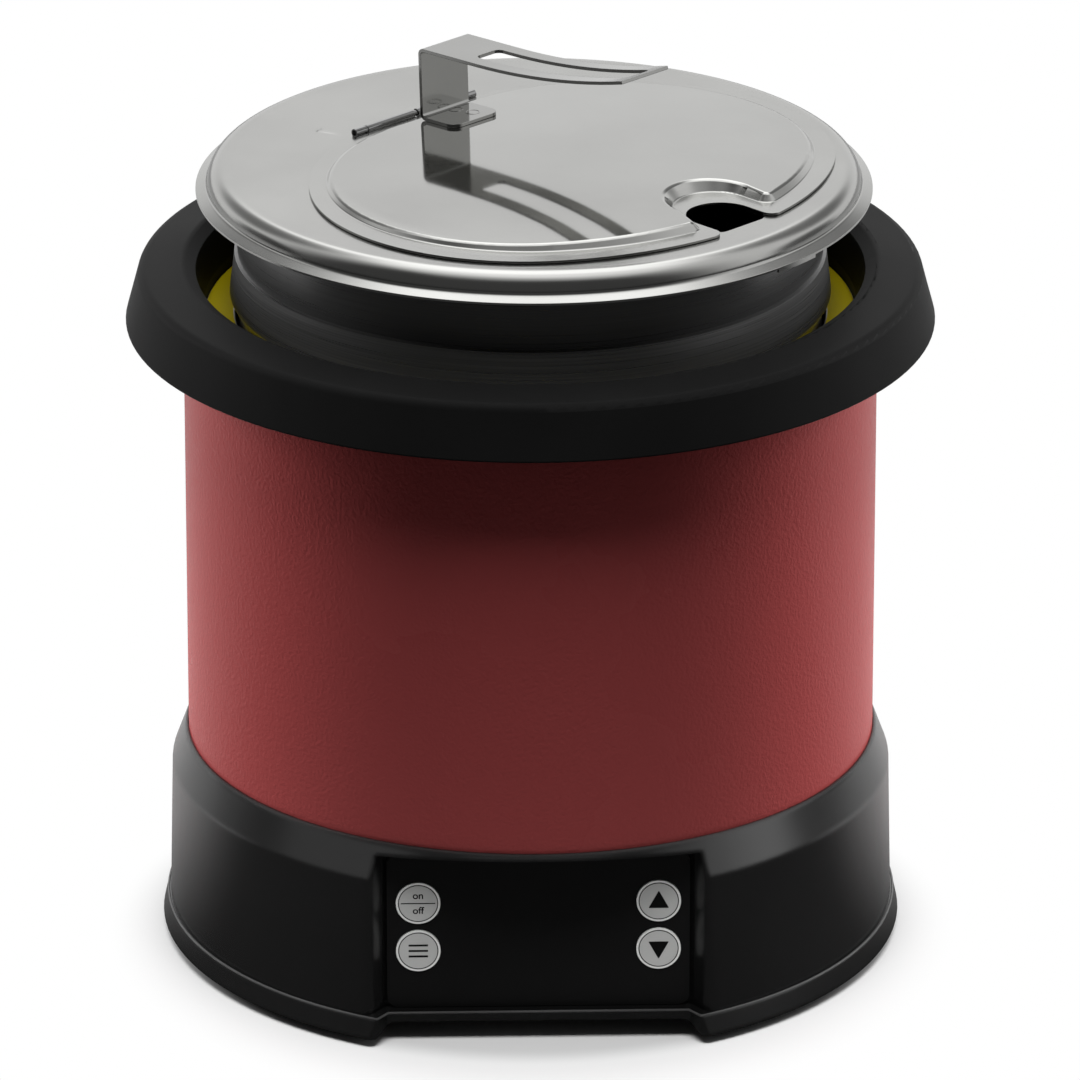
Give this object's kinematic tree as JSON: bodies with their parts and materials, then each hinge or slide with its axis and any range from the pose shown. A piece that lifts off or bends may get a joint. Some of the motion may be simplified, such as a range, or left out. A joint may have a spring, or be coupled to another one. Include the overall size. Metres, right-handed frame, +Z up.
{
  "type": "induction soup kettle",
  "caption": "Round countertop induction soup kettle: black moulded base with a key panel, red shell, black collar, lift-out steel inset and a steel lid with a hinged flap and ladle notch.",
  "frame": {"origin": "centre of the kettle's axis on the counter, at the underside of the feet", "axes": "+Z up along the kettle's axis, -Y towards the control panel's front, +X to the right seen from the front"},
  "size_m": [0.3552, 0.3552, 0.411],
  "materials": {
    "base_black": "fine moulded texture, satin black",
    "rubber_black": "matte",
    "screw_steel": "zinc plated",
    "body_red": "glossy paint with a light orange-peel texture",
    "collar_black": "satin black",
    "well_steel": "satin",
    "band_yellow": "satin yellow",
    "pad_fibre": "ceramic fibre",
    "coil_copper": "enamelled copper wire",
    "carrier_plastic": "moulded",
    "ferrite_grey": "matte",
    "sensor_brass": "turned",
    "board_green": "solder mask",
    "sink_aluminium": "extruded",
    "chip_black": "moulded",
    "capacitor_blue": "sleeved",
    "panel_black": "satin film",
    "key_grey": "satin grey with a light ring",
    "display_dark": "dark filter",
    "inset_steel": "brushed round the axis",
    "disc_steel": "ground",
    "lid_steel": "polished pressing",
    "flap_steel": "polished pressing",
    "handle_steel": "polished strip"
  },
  "bodies": {
    "base": {"base_housing": "base_black", "base_pan": "base_black", "rubber_feet": "rubber_black", "base_screws": "screw_steel", "body_shell": "body_red", "base_gasket": "rubber_black", "collar_gasket": "rubber_black", "top_collar": "collar_black", "tie_rods": "screw_steel", "well_liner": "well_steel", "well_band": "band_yellow", "insulation_pad": "pad_fibre", "induction_coil": "coil_copper", "coil_carrier": "carrier_plastic", "ferrite_bars": "ferrite_grey", "temperature_sensor": "sensor_brass", "power_board": "board_green", "board_standoffs": "carrier_plastic", "heat_sink": "sink_aluminium", "power_transistors": "chip_black", "rectifier_bridge": "chip_black", "filter_capacitors": "capacitor_blue", "filter_choke": "coil_copper", "fan_frame": "chip_black", "fan_posts": "carrier_plastic", "control_panel": "panel_black", "control_board": "board_green", "key_switches": "chip_black", "display_module": "display_dark", "cord_gland": "base_black", "gland_nut": "base_black"},
    "inset": {"inset_pot": "inset_steel", "inset_base_disc": "disc_steel"},
    "lid": {"lid_cover": "lid_steel", "hinge_pin": "lid_steel"},
    "flap": {"flap": "flap_steel", "handle": "handle_steel"},
    "on_off_key": {"key_on_off": "key_grey"},
    "function_key": {"key_function": "key_grey"},
    "up_key": {"key_up": "key_grey"},
    "down_key": {"key_down": "key_grey"},
    "fan": {"fan_rotor": "chip_black"}
  },
  "joints": [
    {"name": "inset_lift", "type": "slide", "parent": "base", "child": "inset", "axis": [0, 0, 1], "range_m": [0, 0.2]},
    {"name": "lid_lift", "type": "slide", "parent": "inset", "child": "lid", "axis": [0, 0, 1], "range_m": [0, 0.08]},
    {"name": "flap_hinge", "type": "hinge", "parent": "lid", "child": "flap", "pos_m": [-0.04983, 0.05832, 0.35933], "axis": [-0.7254, -0.6884, 0], "range_deg": [0, 95]},
    {"name": "on_off_key_press", "type": "slide", "parent": "base", "child": "on_off_key", "axis": [0, 1, 0], "range_m": [0, 0.0006], "stiffness_N_per_m": 400},
    {"name": "function_key_press", "type": "slide", "parent": "base", "child": "function_key", "axis": [0, 1, 0], "range_m": [0, 0.0006], "stiffness_N_per_m": 400},
    {"name": "up_key_press", "type": "slide", "parent": "base", "child": "up_key", "axis": [0, 1, 0], "range_m": [0, 0.0006], "stiffness_N_per_m": 400},
    {"name": "down_key_press", "type": "slide", "parent": "base", "child": "down_key", "axis": [0, 1, 0], "range_m": [0, 0.0006], "stiffness_N_per_m": 400},
    {"name": "fan_spin", "type": "hinge", "parent": "base", "child": "fan", "pos_m": [0, 0.062, 0.03], "axis": [0, 0, 1], "continuous": true}
  ]
}
